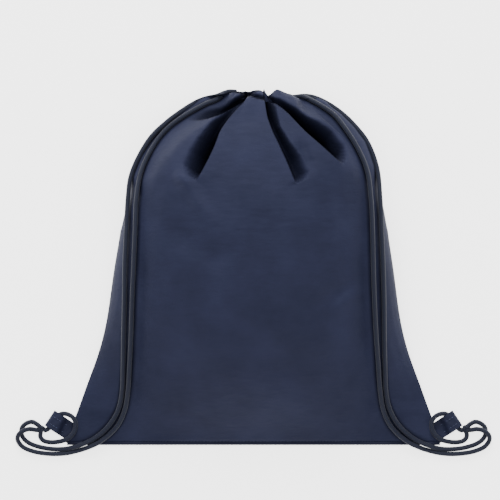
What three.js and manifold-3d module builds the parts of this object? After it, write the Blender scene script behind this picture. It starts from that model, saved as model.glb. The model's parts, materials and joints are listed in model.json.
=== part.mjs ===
// Drawstring backpack, lying on its back panel: +X to the right across the bag, +Y from the bottom
// seam towards the drawn neck, +Z up out of the front panel. Millimetres.
import * as THREE from 'three';
import { mergeVertices } from 'three/addons/utils/BufferGeometryUtils.js';
import Module from 'manifold-3d';

const wasm = await Module();
wasm.setup();

// ---- driving dimensions ----------------------------------------------------------------------
const BAG_WIDTH = 340;        // flat width of each panel, along the bottom seam
const BAG_LENGTH = 308.5;     // bottom seam to the neck, measured along the table when drawn shut
const BAG_LOFT = 104;         // height of the lightly filled bag above the table
const CLOTH = 1.2;            // thickness of each panel's shell
const GAP = 0.3;              // clearance between pieces that touch
const NECK_SHIFT = 10;        // the drawn neck sits a little to the right of the middle
const NECK_HALF_WIDTH = 26;   // half the width of the gathered hem
const NECK_HALF_HEIGHT = 22;  // half its height
const NECK_CENTRE_Z = 35;     // height of the mouth's axis above the table
const FLAT_SHARE = 0.5;       // share of the back panel's width that lies flat on the table
const HEM_DEPTH = 13;         // length of the gathered hem along the mouth's axis
const HEM_REACH = 11.2;       // how far the hem stands past the end of the panels
const HEM_RIM = 1;            // cloth between the hem's cords and its outer end
const HEM_RIPPLE = 0.05;      // depth of the hem's pleats at its rim, as a share of its size
const MOUTH_RADIUS = 6.5;     // the hole that stays open when the neck is drawn
const CORD_DIAMETER = 4.2;
const HEM_CORD_PITCH = 4.6;   // the two cords lie side by side in the hem
const SEAM_ALLOWANCE = 8;     // width of the sewn side allowance inside the bag
const SEAM_THICKNESS = 1.6;
const SEAM_INSET = 1.6;       // room between the allowance and the panels' shells
const BOTTOM_SEAM_DEPTH = 1.9;
const BOTTOM_SEAM_HEIGHT = 2.8;
const BOTTOM_SEAM_INSET = 1.5; // the seam ends this far inside each lower corner
const TAB_WIDTH = 16.2;
const TAB_LENGTH = 22;        // from the side edge to the fold
const TAB_CLOTH = 1.1;
const TAB_TUNNEL_LENGTH = 14; // opening at the fold, along the tab
const TAB_TUNNEL_HEIGHT = 5.2;
const TAB_ANGLE = 33.8;       // the tab points out and up from the X axis, in degrees
const TAB_ROOT_Y = 10.5;      // where the tab's middle line meets the side edge, from the bottom seam
const KNOT_SIZE = [8.4, 7.6, 6.6];
const KNOT_PLACE = [192, -146.3, 3.6];
const CREASE_SIDE_Y = 29.5;   // the corner's crease leaves the side edge this far above the bottom seam
const CREASE_BOTTOM_X = 136;  // and crosses the bottom seam this far from the middle

// The lower edge of the bottom seam and the upper end of the hem are as far from Y = 0.
const BOTTOM_Y = -(BAG_LENGTH + HEM_REACH - BOTTOM_SEAM_DEPTH - GAP) / 2;
const NECK_Y = BOTTOM_Y + BAG_LENGTH;
const CORD_RADIUS = CORD_DIAMETER / 2;

// ---- the bag's shape -------------------------------------------------------------------------
// Stations from the bottom seam to the neck. Each holds the distance from the bottom seam and the
// half width, as shares of the length and half the width, then the heights of the front's crown,
// of the side edge and of the underside as shares of the loft, and the section's fullness.
const STATIONS = [
  [0.000, 1.000, 0.030, 0.016, 0.000, 1.00],
  [0.046, 0.967, 0.150, 0.019, 0.000, 1.00],
  [0.107, 0.925, 0.310, 0.030, 0.000, 1.00],
  [0.178, 0.880, 0.480, 0.075, 0.000, 0.92],
  [0.264, 0.820, 0.640, 0.150, 0.000, 0.80],
  [0.365, 0.775, 0.790, 0.240, 0.000, 0.68],
  [0.487, 0.745, 0.915, 0.320, 0.000, 0.60],
  [0.619, 0.705, 0.990, 0.375, 0.000, 0.55],
  [0.741, 0.655, 0.990, 0.400, 0.006, 0.52],
  [0.842, 0.575, 0.920, 0.400, 0.030, 0.50],
  [0.918, 0.475, 0.810, 0.380, 0.065, 0.50],
  [0.967, 0.365, 0.700, 0.355, 0.095, 0.50],
  [0.990, 0.260, 0.620, 0.340, 0.110, 0.50],
];
const [ALONG, HALF, CROWN, EDGE, UNDER, FULL] = [0, 1, 2, 3, 4, 5];

// The neck is the last station: its size is the gathered hem's own.
const NECK_STATION = [
  1,
  (NECK_HALF_WIDTH + CLOTH + GAP) / (BAG_WIDTH / 2),
  (NECK_CENTRE_Z + NECK_HALF_HEIGHT + CLOTH + GAP) / BAG_LOFT,
  NECK_CENTRE_Z / BAG_LOFT,
  (NECK_CENTRE_Z - NECK_HALF_HEIGHT - CLOTH - GAP) / BAG_LOFT,
  0.5,
];
const PROFILE = [...STATIONS, NECK_STATION];

// A smooth value of one column at v = 0 (bottom seam) to 1 (neck).
function at(column, v) {
  const place = Math.min(Math.max(v, 0), 1) * (PROFILE.length - 1);
  const i = Math.min(Math.floor(place), PROFILE.length - 2);
  const value = (k) => PROFILE[Math.min(Math.max(k, 0), PROFILE.length - 1)][column];
  const [a, b, c, d] = [value(i - 1), value(i), value(i + 1), value(i + 2)];
  const t = place - i;
  const bend = 2 * a - 5 * b + 4 * c - d + t * (3 * b - a - 3 * c + d);
  return b + 0.5 * t * (c - a + t * bend);
}

// The section at v: its place along Y, its middle, half width and heights.
function section(v, inset = 0) {
  return {
    y: BOTTOM_Y + BAG_LENGTH * at(ALONG, v),
    middle: NECK_SHIFT * at(ALONG, v) ** 6,
    half: (BAG_WIDTH / 2) * at(HALF, v) - inset,
    crown: BAG_LOFT * at(CROWN, v) - inset,
    edge: BAG_LOFT * at(EDGE, v),
    under: Math.max(BAG_LOFT * at(UNDER, v), 0) + inset,
    full: at(FULL, v),
    flat: FLAT_SHARE * (1 - at(ALONG, v) ** 8),
  };
}

// A point of the front panel, u across from -1 to 1.
function frontPoint(u, v, inset) {
  const s = section(v, inset);
  const rise = Math.max(s.crown - s.edge - GAP / 2, 0);
  const z = s.edge + GAP / 2 + rise * Math.max(1 - u * u, 0) ** s.full;
  return new THREE.Vector3(s.middle + s.half * u, s.y, z);
}

// A point of the back panel: flat on the table, rounding up to the side edges.
function backPoint(u, v, inset) {
  const s = section(v, inset);
  const drop = Math.max(s.edge - GAP / 2 - s.under, 0);
  const beyondFlat = Math.max(Math.abs(u) - s.flat, 0) / (1 - s.flat);
  const z = s.edge - GAP / 2 - drop * Math.max(1 - beyondFlat ** 2.4, 0) ** 0.5;
  return new THREE.Vector3(s.middle + s.half * u, s.y, z);
}

// ---- geometry helpers ------------------------------------------------------------------------
// A closed box of nu by nv by nw cells, with every corner moved to place(a, b, c), each 0 to 1.
function bend(nu, nv, nw, place) {
  const geometry = new THREE.BoxGeometry(1, 1, 1, nu, nv, nw);
  const position = geometry.getAttribute('position');
  for (let i = 0; i < position.count; i += 1) {
    const a = position.getX(i) + 0.5;
    const b = position.getY(i) + 0.5;
    const c = position.getZ(i) + 0.5;
    const p = place(a, b, c);
    position.setXYZ(i, p.x, p.y, p.z);
  }
  return geometry;
}

function merged(geometry) {
  const bare = geometry.clone();
  for (const name of Object.keys(bare.attributes)) {
    if (name !== 'position') bare.deleteAttribute(name);
  }
  return mergeVertices(bare, 1e-4);
}

// A closed geometry as a solid for cutting. Faces that point inwards are turned round first.
function solid(geometry) {
  const shape = merged(geometry);
  const corners = new Uint32Array(shape.index.array);
  const make = () => new wasm.Manifold(new wasm.Mesh({
    numProp: 3,
    vertProperties: shape.getAttribute('position').array,
    triVerts: corners,
  }));
  const made = make();
  if (made.volume() >= 0) return made;
  for (let i = 0; i < corners.length; i += 3) {
    [corners[i + 1], corners[i + 2]] = [corners[i + 2], corners[i + 1]];
  }
  return make();
}

function geometryOf(made) {
  const { vertProperties, triVerts } = made.getMesh();
  const geometry = new THREE.BufferGeometry();
  geometry.setAttribute('position', new THREE.BufferAttribute(vertProperties, 3));
  geometry.setIndex(new THREE.BufferAttribute(triVerts, 1));
  return geometry;
}

// A round cord along hand-laid points.
function cordGeometry(points, steps, diameter = CORD_DIAMETER) {
  const path = new THREE.CatmullRomCurve3(
    points.map(([x, y, z]) => new THREE.Vector3(x, y, z)), false, 'centripetal',
  );
  const ring = new THREE.Shape();
  const sides = 8;
  for (let i = 0; i < sides; i += 1) {
    const turn = (2 * Math.PI * i) / sides;
    const corner = [Math.cos(turn) * diameter / 2, Math.sin(turn) * diameter / 2];
    if (i === 0) ring.moveTo(...corner);
    else ring.lineTo(...corner);
  }
  return new THREE.ExtrudeGeometry(ring, { steps, extrudePath: path, bevelEnabled: false });
}

const mirrored = (points) => points.map(([x, y, z]) => [-x, y, z]);

// ---- materials -------------------------------------------------------------------------------
const cloth = new THREE.MeshStandardMaterial({ color: 0x2e364f, roughness: 0.72, metalness: 0 });
const hemCloth = new THREE.MeshStandardMaterial({ color: 0x343c57, roughness: 0.75, metalness: 0 });
const seamCloth = new THREE.MeshStandardMaterial({ color: 0x20263a, roughness: 0.85, metalness: 0 });
const tabCloth = new THREE.MeshStandardMaterial({ color: 0x2a3148, roughness: 0.8, metalness: 0 });
const braid = new THREE.MeshStandardMaterial({ color: 0x333b52, roughness: 0.9, metalness: 0 });

const bag = new THREE.Group();

function add(name, geometry, material, parent = bag) {
  const mesh = new THREE.Mesh(geometry, material);
  mesh.name = name;
  parent.add(mesh);
  return mesh;
}

// ---- the corner creases ----------------------------------------------------------------------
// A block that holds everything outside one corner's crease. side is -1 for left and 1 for right.
function cornerBlock(side, shift) {
  const v = CREASE_SIDE_Y / BAG_LENGTH;
  const ends = [
    new THREE.Vector2(CREASE_BOTTOM_X, BOTTOM_Y),
    new THREE.Vector2((BAG_WIDTH / 2) * sideShare(v), BOTTOM_Y + CREASE_SIDE_Y),
  ];
  const along = ends[1].clone().sub(ends[0]).normalize();
  const out = new THREE.Vector2(along.y, -along.x);
  const middle = ends[0].clone().add(ends[1]).multiplyScalar(0.5).addScaledVector(out, shift);
  const size = 120;
  const block = new THREE.BoxGeometry(size, size, size);
  block.translate(size / 2, 0, 0);
  block.rotateZ(Math.atan2(out.y, out.x));
  block.translate(middle.x, middle.y, 0);
  if (side < 0) block.scale(-1, 1, 1);
  return solid(block);
}

// Half width, as a share, at a share of the length.
function sideShare(share) {
  const step = 0.001;
  let v = 0;
  while (v < 1 && at(ALONG, v) < share) v += step;
  return at(HALF, v);
}

const outsideLeft = cornerBlock(-1, GAP / 2);
const outsideRight = cornerBlock(1, GAP / 2);
const cutLeft = cornerBlock(-1, -GAP / 2);
const cutRight = cornerBlock(1, -GAP / 2);

// Adds a piece that runs into both corners as three nodes, cut at the creases.
function addSplit(geometry, material, middleName, cornerName) {
  const whole = solid(geometry);
  add(middleName, geometryOf(whole.subtract(cutLeft).subtract(cutRight)), material);
  add(`left_${cornerName}`, geometryOf(whole.intersect(outsideLeft)), material);
  add(`right_${cornerName}`, geometryOf(whole.intersect(outsideRight)), material);
}

// ---- panels ----------------------------------------------------------------------------------
const ACROSS = 20;
const ROWS = 2 * (PROFILE.length - 1);
const spread = (a) => Math.sin((a - 0.5) * Math.PI);

addSplit(
  bend(ACROSS, ROWS, 1, (a, b, c) => frontPoint(spread(a), b, CLOTH * (1 - c))),
  cloth, 'front_panel', 'corner_front',
);
addSplit(
  bend(ACROSS, ROWS, 1, (a, b, c) => backPoint(spread(a), b, CLOTH * c)),
  cloth, 'back_panel', 'corner_back',
);

// ---- seams -----------------------------------------------------------------------------------
const bottomSeam = new THREE.BoxGeometry(
  BAG_WIDTH - 2 * BOTTOM_SEAM_INSET, BOTTOM_SEAM_DEPTH, BOTTOM_SEAM_HEIGHT, 12, 1, 1,
);
bottomSeam.translate(
  0, BOTTOM_Y - GAP - BOTTOM_SEAM_DEPTH / 2, BOTTOM_SEAM_HEIGHT / 2,
);
addSplit(bottomSeam, seamCloth, 'bottom_seam', 'corner_seam');

// The side allowance starts above the crease and ends below the gathered hem.
const SIDE_SEAM_START = 0.22;
const SIDE_SEAM_END = 0.86;

function sideSeam(side) {
  const clear = CLOTH + GAP + SEAM_INSET;
  return bend(1, 18, 1, (a, b, c) => {
    const v = SIDE_SEAM_START + (SIDE_SEAM_END - SIDE_SEAM_START) * b;
    const s = section(v);
    const inward = clear + SEAM_ALLOWANCE * (side > 0 ? 1 - a : a);
    const x = s.middle + side * (s.half - inward);
    return new THREE.Vector3(x, s.y, s.edge + SEAM_THICKNESS * (c - 0.5));
  });
}

add('left_side_seam', sideSeam(-1), seamCloth);
add('right_side_seam', sideSeam(1), seamCloth);

// ---- gathered hem ----------------------------------------------------------------------------
const HEM_END_Y = NECK_Y + HEM_REACH;
const HEM_START_Y = HEM_END_Y - HEM_DEPTH;
const HEM_CORD_RX = (NECK_HALF_WIDTH + MOUTH_RADIUS) / 2 + 1;
const HEM_CORD_RZ = (NECK_HALF_HEIGHT + MOUTH_RADIUS) / 2;
const CORD_EXIT_SPREAD = CORD_RADIUS + 3.5 * GAP;
const HEM_CORD_STEPS = 28;

// Points of one cord inside the hem: out of one side, right round the mouth and back out.
function hemCordPoints(side, y) {
  const exitAngle = Math.asin(CORD_EXIT_SPREAD / HEM_CORD_RZ);
  const points = [];
  const turns = 14;
  for (let i = 0; i <= turns; i += 1) {
    const turn = exitAngle + (2 * Math.PI - 2 * exitAngle) * (i / turns);
    const x = NECK_SHIFT + side * HEM_CORD_RX * Math.cos(turn);
    points.push([x, y, NECK_CENTRE_Z + HEM_CORD_RZ * Math.sin(turn)]);
  }
  const outX = NECK_SHIFT + side * (NECK_HALF_WIDTH + CLOTH);
  points.unshift([outX, y, NECK_CENTRE_Z + CORD_EXIT_SPREAD + GAP]);
  points.push([outX, y, NECK_CENTRE_Z - CORD_EXIT_SPREAD - GAP]);
  return points;
}

const HEM_CORD_Y = HEM_END_Y - HEM_RIM - GAP - CORD_RADIUS;
const hemCords = {
  left: hemCordPoints(-1, HEM_CORD_Y),
  right: hemCordPoints(1, HEM_CORD_Y - HEM_CORD_PITCH),
};

// Half of the gathered hem, above (1) or below (-1) the mouth's axis, with scalloped pleats round
// its rim and room for both cords.
function hemHalf(half) {
  const around = 32;
  const pleats = 9;
  const ring = bend(around, 2, 2, (a, b, c) => {
    const turn = Math.PI * (half > 0 ? 1 - a : -a);
    const ripple = 1 - HEM_RIPPLE * b * (1 + Math.cos(2 * pleats * turn)) / 2;
    const rx = MOUTH_RADIUS + (NECK_HALF_WIDTH * ripple - MOUTH_RADIUS) * c;
    const rz = MOUTH_RADIUS + (NECK_HALF_HEIGHT * ripple - MOUTH_RADIUS) * c;
    const z = NECK_CENTRE_Z + half * GAP / 2 + rz * Math.sin(turn);
    return new THREE.Vector3(
      NECK_SHIFT + rx * Math.cos(turn), HEM_START_Y + HEM_DEPTH * b, z,
    );
  });
  let whole = solid(ring);
  for (const points of Object.values(hemCords)) {
    whole = whole.subtract(solid(cordGeometry(points, HEM_CORD_STEPS, CORD_DIAMETER + 2 * GAP)));
  }
  return geometryOf(whole);
}

add('front_hem_casing', hemHalf(1), hemCloth);
add('back_hem_casing', hemHalf(-1), hemCloth);
add('left_cord_in_hem', cordGeometry(hemCords.left, HEM_CORD_STEPS), braid);
add('right_cord_in_hem', cordGeometry(hemCords.right, HEM_CORD_STEPS), braid);

// ---- cords -----------------------------------------------------------------------------------
// Each strap runs from the hem over the front panel and past the bottom edge. Points by hand.
const LEFT_OUTER_STRAP = [
  [-18.1, 157.6, 31.5], [-25, 157, 32.2], [-33, 153.8, 35.5], [-42.9, 151.6, 37.5], [-52, 148, 39.5],
  [-66.4, 138.9, 43], [-78.5, 129.7, 45], [-91.6, 117.1, 47], [-102.8, 99.3, 49],
  [-110.2, 80.8, 52], [-112.7, 60.5, 55.1], [-114, 30.6, 61.1], [-115.3, 0.8, 59.8],
  [-115.8, -29.9, 53.8], [-116.7, -61.6, 43.8], [-117.4, -90.5, 33.3], [-118.3, -111.3, 24.9],
  [-121.6, -127.6, 17.1], [-127.7, -139.3, 11.9], [-135.9, -148.7, 8], [-145.6, -155.9, 6.2],
  [-156.4, -160.9, 5.5],
];
const LEFT_INNER_STRAP = [
  [-18.1, 157.6, 38.5], [-24, 157.2, 39.6], [-33.4, 150.3, 46], [-41.6, 147.1, 49],
  [-51.1, 142.2, 49.1], [-64.2, 134.4, 49.5], [-75, 126.5, 48.6], [-84.5, 116.5, 49.9],
  [-94.3, 100.7, 56], [-101.2, 83.5, 61.3], [-104.8, 60.5, 67.6], [-106, 30.6, 69.7],
  [-107.3, 0.8, 67], [-108.8, -29.9, 59.5], [-110, -61.6, 48.3], [-111.6, -90.5, 36.2],
  [-112.9, -109.5, 27.8], [-116, -128.5, 18.2], [-122.1, -142.2, 11.8], [-131, -152, 7.3],
  [-141.2, -159.7, 5.7], [-147.5, -162.8, 5.1],
];
const RIGHT_OUTER_STRAP = [
  [38.1, 153, 31.5], [45, 153.9, 32.2], [53.8, 152.7, 35.5], [65.5, 147.6, 38], [79.6, 137.9, 41],
  [91.4, 126.3, 44], [102.2, 112, 47], [110.6, 89.4, 50.5], [113.5, 60.5, 58.1],
  [114.7, 30.6, 61.3], [116, 0.8, 59.2], [116.9, -29.9, 52.8], [117.4, -61.6, 43.3],
  [118.2, -90.5, 32.9], [119.2, -111.3, 24.6], [122.5, -127.6, 16.9], [128.5, -139.3, 11.7],
  [136.6, -148.7, 8], [146.2, -155.9, 6.2], [156.8, -160.9, 5.5],
];
const RIGHT_INNER_STRAP = [
  [38.1, 153, 38.5], [43.6, 153.3, 39.8], [52.4, 149.5, 47], [61.9, 144, 52.1], [72.8, 135.9, 55.8],
  [82.7, 123.3, 60.7], [94.5, 103.9, 64.3], [101.9, 84.9, 66.3], [105, 60.5, 70.2],
  [106.4, 30.6, 70.4], [107.1, 0.8, 67.5], [108.2, -29.9, 59.9], [110, -61.6, 48.6],
  [112.3, -90.5, 35.9], [113.8, -109.5, 27.4], [116.9, -128.5, 17.9], [122.9, -142.2, 11.7],
  [131.5, -152, 7.4], [141.6, -159.7, 5.7], [147.9, -162.8, 5.1],
];
// Past the bottom edge each strap turns on the table and comes back to the tab. Left side; the
// right side is its mirror image.
const OUTER_STRAP_LOOP = [
  [-168.6, -164.2, 3.4], [-181.4, -164.6, 2.4], [-193.9, -162.5, 2.4], [-202.9, -159, 2.4],
  [-208, -154.6, 2.4], [-209.8, -149.4, 2.4], [-208.9, -144.7, 2.4], [-205.1, -141.3, 2.5],
  [-200.2, -140, 2.8], [-195.5, -142.2, 3.6],
];
const INNER_STRAP_LOOP = [
  [-155.4, -165.9, 3], [-169.5, -169, 2.4], [-184, -169.4, 2.4], [-199.3, -167.2, 2.4],
  [-208.9, -162.7, 2.4], [-212.9, -156.9, 3.2], [-212.7, -152.4, 6.2], [-209.6, -148.9, 7.8],
  [-204.6, -146.8, 5.6], [-200.6, -146.6, 3.6], [-197.2, -147.2, 3.2],
];
// The tied end: through the tab's fold, over the bag's corner and back to the knot. Left side.
const RING = [
  [-186.4, -147.7, 3.6], [-184.5, -145.4, 3.8], [-182.7, -142.3, 3.85], [-180.3, -138.9, 3.85],
  [-177.6, -135.4, 3.9], [-174.3, -133, 4.6], [-170.8, -132.5, 6.2], [-167.2, -133.3, 7],
  [-163.6, -135.5, 7.3], [-161.3, -138.8, 7.3], [-160.6, -142.8, 7.3], [-161.4, -147.2, 7.2],
  [-163.9, -151.6, 6.9], [-169.5, -155.9, 6], [-176.8, -158, 3.6], [-184.1, -158.4, 2.5],
  [-189.8, -156.9, 2.4], [-192.4, -153.9, 2.6], [-192.6, -151, 3],
];
const STRAP_STEPS = 54;
const RING_STEPS = 24;

function addStrap(side, run, strap, loop) {
  const whole = solid(cordGeometry([...strap, ...loop], STRAP_STEPS));
  const [cut, outside] = side < 0 ? [cutLeft, outsideLeft] : [cutRight, outsideRight];
  const name = side < 0 ? `left_${run}` : `right_${run}`;
  add(`${name}_strap`, geometryOf(whole.subtract(cut)), braid);
  add(`${name}_loop`, geometryOf(whole.intersect(outside)), braid);
}

addStrap(-1, 'outer', LEFT_OUTER_STRAP, OUTER_STRAP_LOOP);
addStrap(-1, 'inner', LEFT_INNER_STRAP, INNER_STRAP_LOOP);
addStrap(1, 'outer', RIGHT_OUTER_STRAP, mirrored(OUTER_STRAP_LOOP));
addStrap(1, 'inner', RIGHT_INNER_STRAP, mirrored(INNER_STRAP_LOOP));
add('left_cord_ring', cordGeometry(RING, RING_STEPS), braid);
add('right_cord_ring', cordGeometry(mirrored(RING), RING_STEPS), braid);

// ---- tabs and knots --------------------------------------------------------------------------
// A strip folded in half: two layers from the side edge to a tunnel at the fold.
function tabGeometry(side) {
  const angle = THREE.MathUtils.degToRad(TAB_ANGLE);
  const out = new THREE.Vector2(Math.cos(angle), Math.sin(angle));
  const across = new THREE.Vector2(-out.y, out.x);
  const edge = (y) => (BAG_WIDTH / 2) * sideShare(y / BAG_LENGTH);
  const near = 8;
  const slope = (edge(TAB_ROOT_Y + near) - edge(TAB_ROOT_Y - near)) / (2 * near);
  const skew = (across.y * slope - across.x) / (out.x - slope * out.y);
  const start = edge(TAB_ROOT_Y) + 2 * GAP;
  const low = GAP + TAB_CLOTH / 2;
  const layer = TAB_CLOTH + GAP;
  const open = TAB_TUNNEL_HEIGHT + TAB_CLOTH;
  const fold = TAB_LENGTH - TAB_CLOTH / 2;
  const strip = new THREE.CatmullRomCurve3([
    [0, low], [fold * 0.3, low], [fold * 0.6, low], [fold - 2.4, low],
    [fold, low + open / 2], [fold - 2.4, low + open],
    [fold - TAB_TUNNEL_LENGTH + 4, low + open], [fold - TAB_TUNNEL_LENGTH, low + layer],
    [0, low + layer],
  ].map(([l, z]) => new THREE.Vector3(l, 0, z)), false, 'centripetal');
  return bend(26, 2, 1, (a, b, c) => {
    const point = strip.getPoint(a);
    const tangent = strip.getTangent(a);
    const offset = TAB_CLOTH * (0.5 - c);
    const v = TAB_WIDTH * (b - 0.5);
    const root = skew * v;
    const reach = (TAB_LENGTH - root) / TAB_LENGTH;
    const l = root + (point.x - tangent.z * offset) * reach;
    return new THREE.Vector3(
      side * (start + out.x * l + across.x * v),
      BOTTOM_Y + TAB_ROOT_Y + out.y * l + across.y * v,
      point.z + tangent.x * offset,
    );
  });
}

function knotGeometry(side) {
  const knot = new THREE.SphereGeometry(0.5, 14, 9);
  knot.scale(...KNOT_SIZE);
  knot.translate(side * KNOT_PLACE[0], KNOT_PLACE[1], KNOT_PLACE[2]);
  return knot;
}

for (const [name, side] of [['left', -1], ['right', 1]]) {
  add(`${name}_tab`, geometryOf(solid(tabGeometry(side))), tabCloth);
  add(`${name}_knot`, knotGeometry(side), braid);
}

export default bag;
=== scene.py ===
# %% [markdown]
# # A drawstring backpack
#
# A gym sack is two rectangles of thin woven cloth, sewn together along the sides and the bottom.
# The top edge is turned over into a hem, and two cords run through it. Pulling the cords draws the
# mouth shut, and the same cords, tied to a tab at each lower corner, are the shoulder straps.
#
# The solids come in as a fixed frame. They say where everything is, and they stay simple. This
# script makes what is seen: cloth with its folds, braided cords, stitched tabs, seams and knots.

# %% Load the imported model
import json
import math

import bmesh
import bpy
import numpy as np
from mathutils import Matrix, Vector, bvhtree, kdtree, noise


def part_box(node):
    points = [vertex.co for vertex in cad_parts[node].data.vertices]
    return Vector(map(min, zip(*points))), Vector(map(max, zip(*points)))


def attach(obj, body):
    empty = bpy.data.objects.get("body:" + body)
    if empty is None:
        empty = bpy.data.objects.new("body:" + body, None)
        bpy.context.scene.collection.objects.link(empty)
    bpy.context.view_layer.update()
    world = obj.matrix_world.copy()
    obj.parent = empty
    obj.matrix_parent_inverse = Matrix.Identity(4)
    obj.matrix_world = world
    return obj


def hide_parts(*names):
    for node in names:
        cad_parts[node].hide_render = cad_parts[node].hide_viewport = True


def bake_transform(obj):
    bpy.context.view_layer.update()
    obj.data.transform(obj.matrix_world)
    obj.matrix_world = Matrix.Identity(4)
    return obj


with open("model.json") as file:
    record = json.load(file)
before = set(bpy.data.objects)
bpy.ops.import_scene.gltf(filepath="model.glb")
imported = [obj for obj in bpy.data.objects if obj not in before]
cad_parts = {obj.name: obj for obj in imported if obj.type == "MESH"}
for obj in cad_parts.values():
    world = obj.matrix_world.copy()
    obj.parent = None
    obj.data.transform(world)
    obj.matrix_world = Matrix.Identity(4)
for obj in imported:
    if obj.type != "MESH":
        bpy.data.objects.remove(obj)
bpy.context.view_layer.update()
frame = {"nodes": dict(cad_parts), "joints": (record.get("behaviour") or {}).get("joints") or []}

MM = 0.001
SIDES = (("left", -1), ("right", 1))

# %% [markdown]
# ## Camera
#
# The bag lies on its back and is looked at from straight above, with its neck at the top. A long
# lens from far away keeps the high crown the same scale as the seam on the table. It could be an
# orthographic camera, but it is a perspective one.

# %% Place the camera
FIELD = 452 * MM           # width of the table that the view takes in
VIEW_CENTRE = (-3.2 * MM, 15.3 * MM, 0.0)
CAMERA_HEIGHT = 6.0

camera_data = bpy.data.cameras.new("view_from_above")
camera_data.sensor_width = 36.0
camera_data.lens = 36.0 * CAMERA_HEIGHT / FIELD
camera = bpy.data.objects.new("view_from_above", camera_data)
camera.location = (VIEW_CENTRE[0], VIEW_CENTRE[1], CAMERA_HEIGHT)
bpy.context.scene.collection.objects.link(camera)
bpy.context.scene.camera = camera
print("lens in mm:", round(camera_data.lens))

# %% [markdown]
# ## Helpers for meshes
#
# Almost every piece here is a strip or a tube of cloth or cord. Each starts as one flat grid from
# a bmesh operator, and a function then says where the point at share `a` across and `b` along
# goes. This keeps the corners in tidy rows, and gives every piece its own UV map for free.

# %% Bend a grid
def bent_grid(name, across, along, place, span=(1.0, 1.0), weld=False, shade=None):
    """A grid whose corners go to place(a, b), with a UV map as large as span.

    shade(a, b) gives each corner's painted shade, from 0 in the open to 1 deep in a fold.
    """
    bm = bmesh.new()
    bmesh.ops.create_grid(bm, x_segments=across, y_segments=along, size=0.5)
    bm.verts.ensure_lookup_table()
    shares = np.array([(v.co.x + 0.5, v.co.y + 0.5) for v in bm.verts])
    uv = bm.loops.layers.uv.new("UVMap")
    for face in bm.faces:
        for loop in face.loops:
            a, b = shares[loop.vert.index]
            loop[uv].uv = (a * span[0], b * span[1])
    for vert, spot in zip(bm.verts, place(shares[:, 0], shares[:, 1])):
        vert.co = spot
    if shade is not None:
        painted_shade = bm.verts.layers.float.new("painted_shade")
        for vert, value in zip(bm.verts, shade(shares[:, 0], shares[:, 1])):
            vert[painted_shade] = value
    if weld:
        bmesh.ops.remove_doubles(bm, verts=bm.verts, dist=1e-6)
    for face in bm.faces:
        face.smooth = True
    return finished(name, bm)


def finished(name, bm):
    """Turns a bmesh into an object at the origin."""
    mesh = bpy.data.meshes.new(name)
    bm.to_mesh(mesh)
    bm.free()
    piece = bpy.data.objects.new(name, mesh)
    bpy.context.scene.collection.objects.link(piece)
    return piece


def smooth_step(low, high, x):
    t = np.clip((np.asarray(x, float) - low) / (high - low), 0, 1)
    return t * t * (3 - 2 * t)


# %% [markdown]
# ## Cord routes
#
# Each strap leaves the side of the gathered hem, lies over the bag's shoulder, runs down the front
# panel and turns on the table back to the tab. On the bag two cords lie side by side at each side.
# The routes are the ones that the solids follow, point by point in millimetres. Only their ends
# reach a little further, into the hem and into the knots, where solids have to stay apart.

# %% Points of the cords
LEFT_OUTER = [
    (-15, 157.4, 31.6), (-18.1, 157.6, 31.5), (-25, 157, 32.2), (-33, 153.8, 35.5), (-42.9, 151.6, 37.5),
    (-52, 148, 39.5), (-66.4, 138.9, 43), (-78.5, 129.7, 45), (-91.6, 117.1, 47),
    (-102.8, 99.3, 49), (-110.2, 80.8, 52), (-112.7, 60.5, 55.1), (-114, 30.6, 61.1),
    (-115.3, 0.8, 59.8), (-115.8, -29.9, 53.8), (-116.7, -61.6, 43.8), (-117.4, -90.5, 33.3),
    (-118.3, -111.3, 24.9), (-121.6, -127.6, 17.1), (-127.7, -139.3, 11.9), (-135.9, -148.7, 8),
    (-145.6, -155.9, 6.2), (-156.4, -160.9, 5.5),
]
LEFT_INNER = [
    (-15, 157.2, 37.9), (-18.1, 157.6, 38.5), (-24, 157.2, 39.6), (-33.4, 150.3, 46), (-41.6, 147.1, 49),
    (-51.1, 142.2, 49.1), (-64.2, 134.4, 49.5), (-75, 126.5, 48.6), (-84.5, 116.5, 49.9),
    (-94.3, 100.7, 56), (-101.2, 83.5, 61.3), (-104.8, 60.5, 67.6), (-106, 30.6, 69.7),
    (-107.3, 0.8, 67), (-108.8, -29.9, 59.5), (-110, -61.6, 48.3), (-111.6, -90.5, 36.2),
    (-112.9, -109.5, 27.8), (-116, -128.5, 18.2), (-122.1, -142.2, 11.8), (-131, -152, 7.3),
    (-141.2, -159.3, 5.7), (-147.5, -162.2, 5.1),
]
RIGHT_OUTER = [
    (35, 152.6, 31.6), (38.1, 153, 31.5), (45, 153.9, 32.2), (53.8, 152.7, 35.5), (65.5, 147.6, 38),
    (79.6, 137.9, 41), (91.4, 126.3, 44), (102.2, 112, 47), (110.6, 89.4, 50.5),
    (113.5, 60.5, 58.1), (114.7, 30.6, 61.3), (116, 0.8, 59.2), (116.9, -29.9, 52.8),
    (117.4, -61.6, 43.3), (118.2, -90.5, 32.9), (119.2, -111.3, 24.6), (122.5, -127.6, 16.9),
    (128.5, -139.3, 11.7), (136.6, -148.7, 8), (146.2, -155.9, 6.2), (156.8, -160.9, 5.5),
]
RIGHT_INNER = [
    (35, 152.6, 37.9), (38.1, 153, 38.5), (43.6, 153.3, 39.8), (52.4, 149.5, 47), (61.9, 144, 52.1),
    (72.8, 135.9, 55.8), (82.7, 123.3, 60.7), (94.5, 103.9, 64.3), (101.9, 84.9, 66.3),
    (105, 60.5, 70.2), (106.4, 30.6, 70.4), (107.1, 0.8, 67.5), (108.2, -29.9, 59.9),
    (110, -61.6, 48.6), (112.3, -90.5, 35.9), (113.8, -109.5, 27.4), (116.9, -128.5, 17.9),
    (122.9, -142.2, 11.7), (131.5, -152, 7.4), (141.6, -159.3, 5.7), (147.9, -162.2, 5.1),
]
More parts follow.
